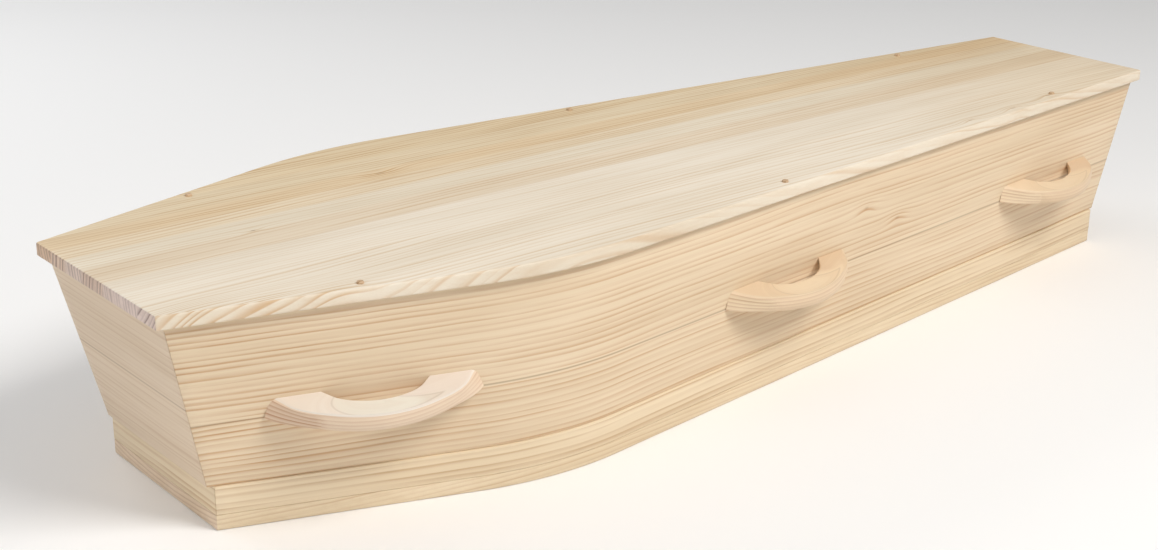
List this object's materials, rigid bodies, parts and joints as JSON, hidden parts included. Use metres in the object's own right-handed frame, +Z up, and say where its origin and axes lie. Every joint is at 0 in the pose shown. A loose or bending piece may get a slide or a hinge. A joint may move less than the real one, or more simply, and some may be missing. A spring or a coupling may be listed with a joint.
{
  "type": "coffin",
  "caption": "Closed pine coffin with curved shoulders, leaning walls on an upright plinth, a loose overhanging flat lid and bow handles along both sides.",
  "frame": {"origin": "bottom centre: midway along the coffin, on its middle line, on the surface that it stands on", "axes": "+X along the coffin towards the foot, +Z up, -Y to the right side of a person lying in it"},
  "size_m": [2.03, 0.6488, 0.3318],
  "materials": {
    "pine_lid": "planed, unfinished",
    "pine_side": "planed, unfinished",
    "pine_end": "planed, unfinished",
    "pine_rail": "planed, unfinished",
    "pine_base": "sawn and planed, unfinished",
    "pine_handle": "sanded smooth, unfinished",
    "pine_plug": "sanded smooth, unfinished"
  },
  "bodies": {
    "root": {"base_board": "pine_base", "plinth_rail_head": "pine_rail", "plinth_rail_foot": "pine_rail", "plinth_rail_right": "pine_rail", "plinth_rail_left": "pine_rail", "head_panel": "pine_end", "foot_panel": "pine_end", "side_panel_right": "pine_side", "side_panel_left": "pine_side", "lid": "pine_lid", "handle_right_head": "pine_handle", "handle_right_middle": "pine_handle", "handle_right_foot": "pine_handle", "handle_left_head": "pine_handle", "handle_left_middle": "pine_handle", "handle_left_foot": "pine_handle", "lid_plug_right_head": "pine_plug", "lid_plug_right_middle": "pine_plug", "lid_plug_right_foot": "pine_plug", "lid_plug_left_head": "pine_plug", "lid_plug_left_middle": "pine_plug", "lid_plug_left_foot": "pine_plug"}
  },
  "joints": []
}
